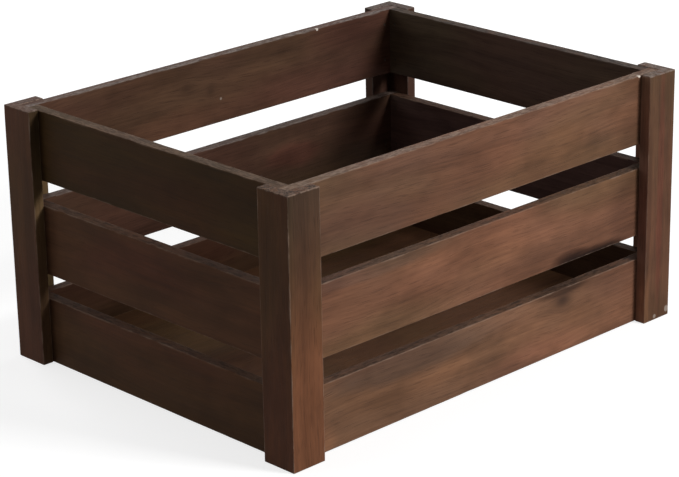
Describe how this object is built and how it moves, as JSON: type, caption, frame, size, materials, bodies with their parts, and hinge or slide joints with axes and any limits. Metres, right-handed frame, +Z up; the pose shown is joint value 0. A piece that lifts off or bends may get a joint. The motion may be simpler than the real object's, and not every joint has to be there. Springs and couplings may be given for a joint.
{
  "type": "slatted storage crate",
  "caption": "Open-topped rectangular wooden storage crate with L-section corner posts, spaced horizontal side slats and a flat floor panel.",
  "frame": {"origin": "middle of the footprint, on the plane of the post feet", "axes": "+X along the long sides, +Y along the short sides towards the back, +Z up out of the open top"},
  "size_m": [0.4, 0.302, 0.198],
  "materials": {
    "post_wood": "satin",
    "slat_wood": "satin",
    "end_slat_wood": "satin",
    "floor_wood": "satin",
    "brad_steel": "satin"
  },
  "bodies": {
    "root": {"front_left_post": "post_wood", "front_right_post": "post_wood", "back_left_post": "post_wood", "back_right_post": "post_wood", "front_top_slat": "slat_wood", "front_middle_slat": "slat_wood", "front_bottom_slat": "slat_wood", "back_top_slat": "slat_wood", "back_middle_slat": "slat_wood", "back_bottom_slat": "slat_wood", "left_top_slat": "end_slat_wood", "left_middle_slat": "end_slat_wood", "left_bottom_slat": "end_slat_wood", "right_top_slat": "end_slat_wood", "right_middle_slat": "end_slat_wood", "right_bottom_slat": "end_slat_wood", "front_cleat": "floor_wood", "back_cleat": "floor_wood", "left_cleat": "floor_wood", "right_cleat": "floor_wood", "floor_panel": "floor_wood", "front_brads": "brad_steel", "back_brads": "brad_steel", "left_brads": "brad_steel", "right_brads": "brad_steel", "cleat_brads": "brad_steel", "floor_brads": "brad_steel"}
  },
  "joints": []
}
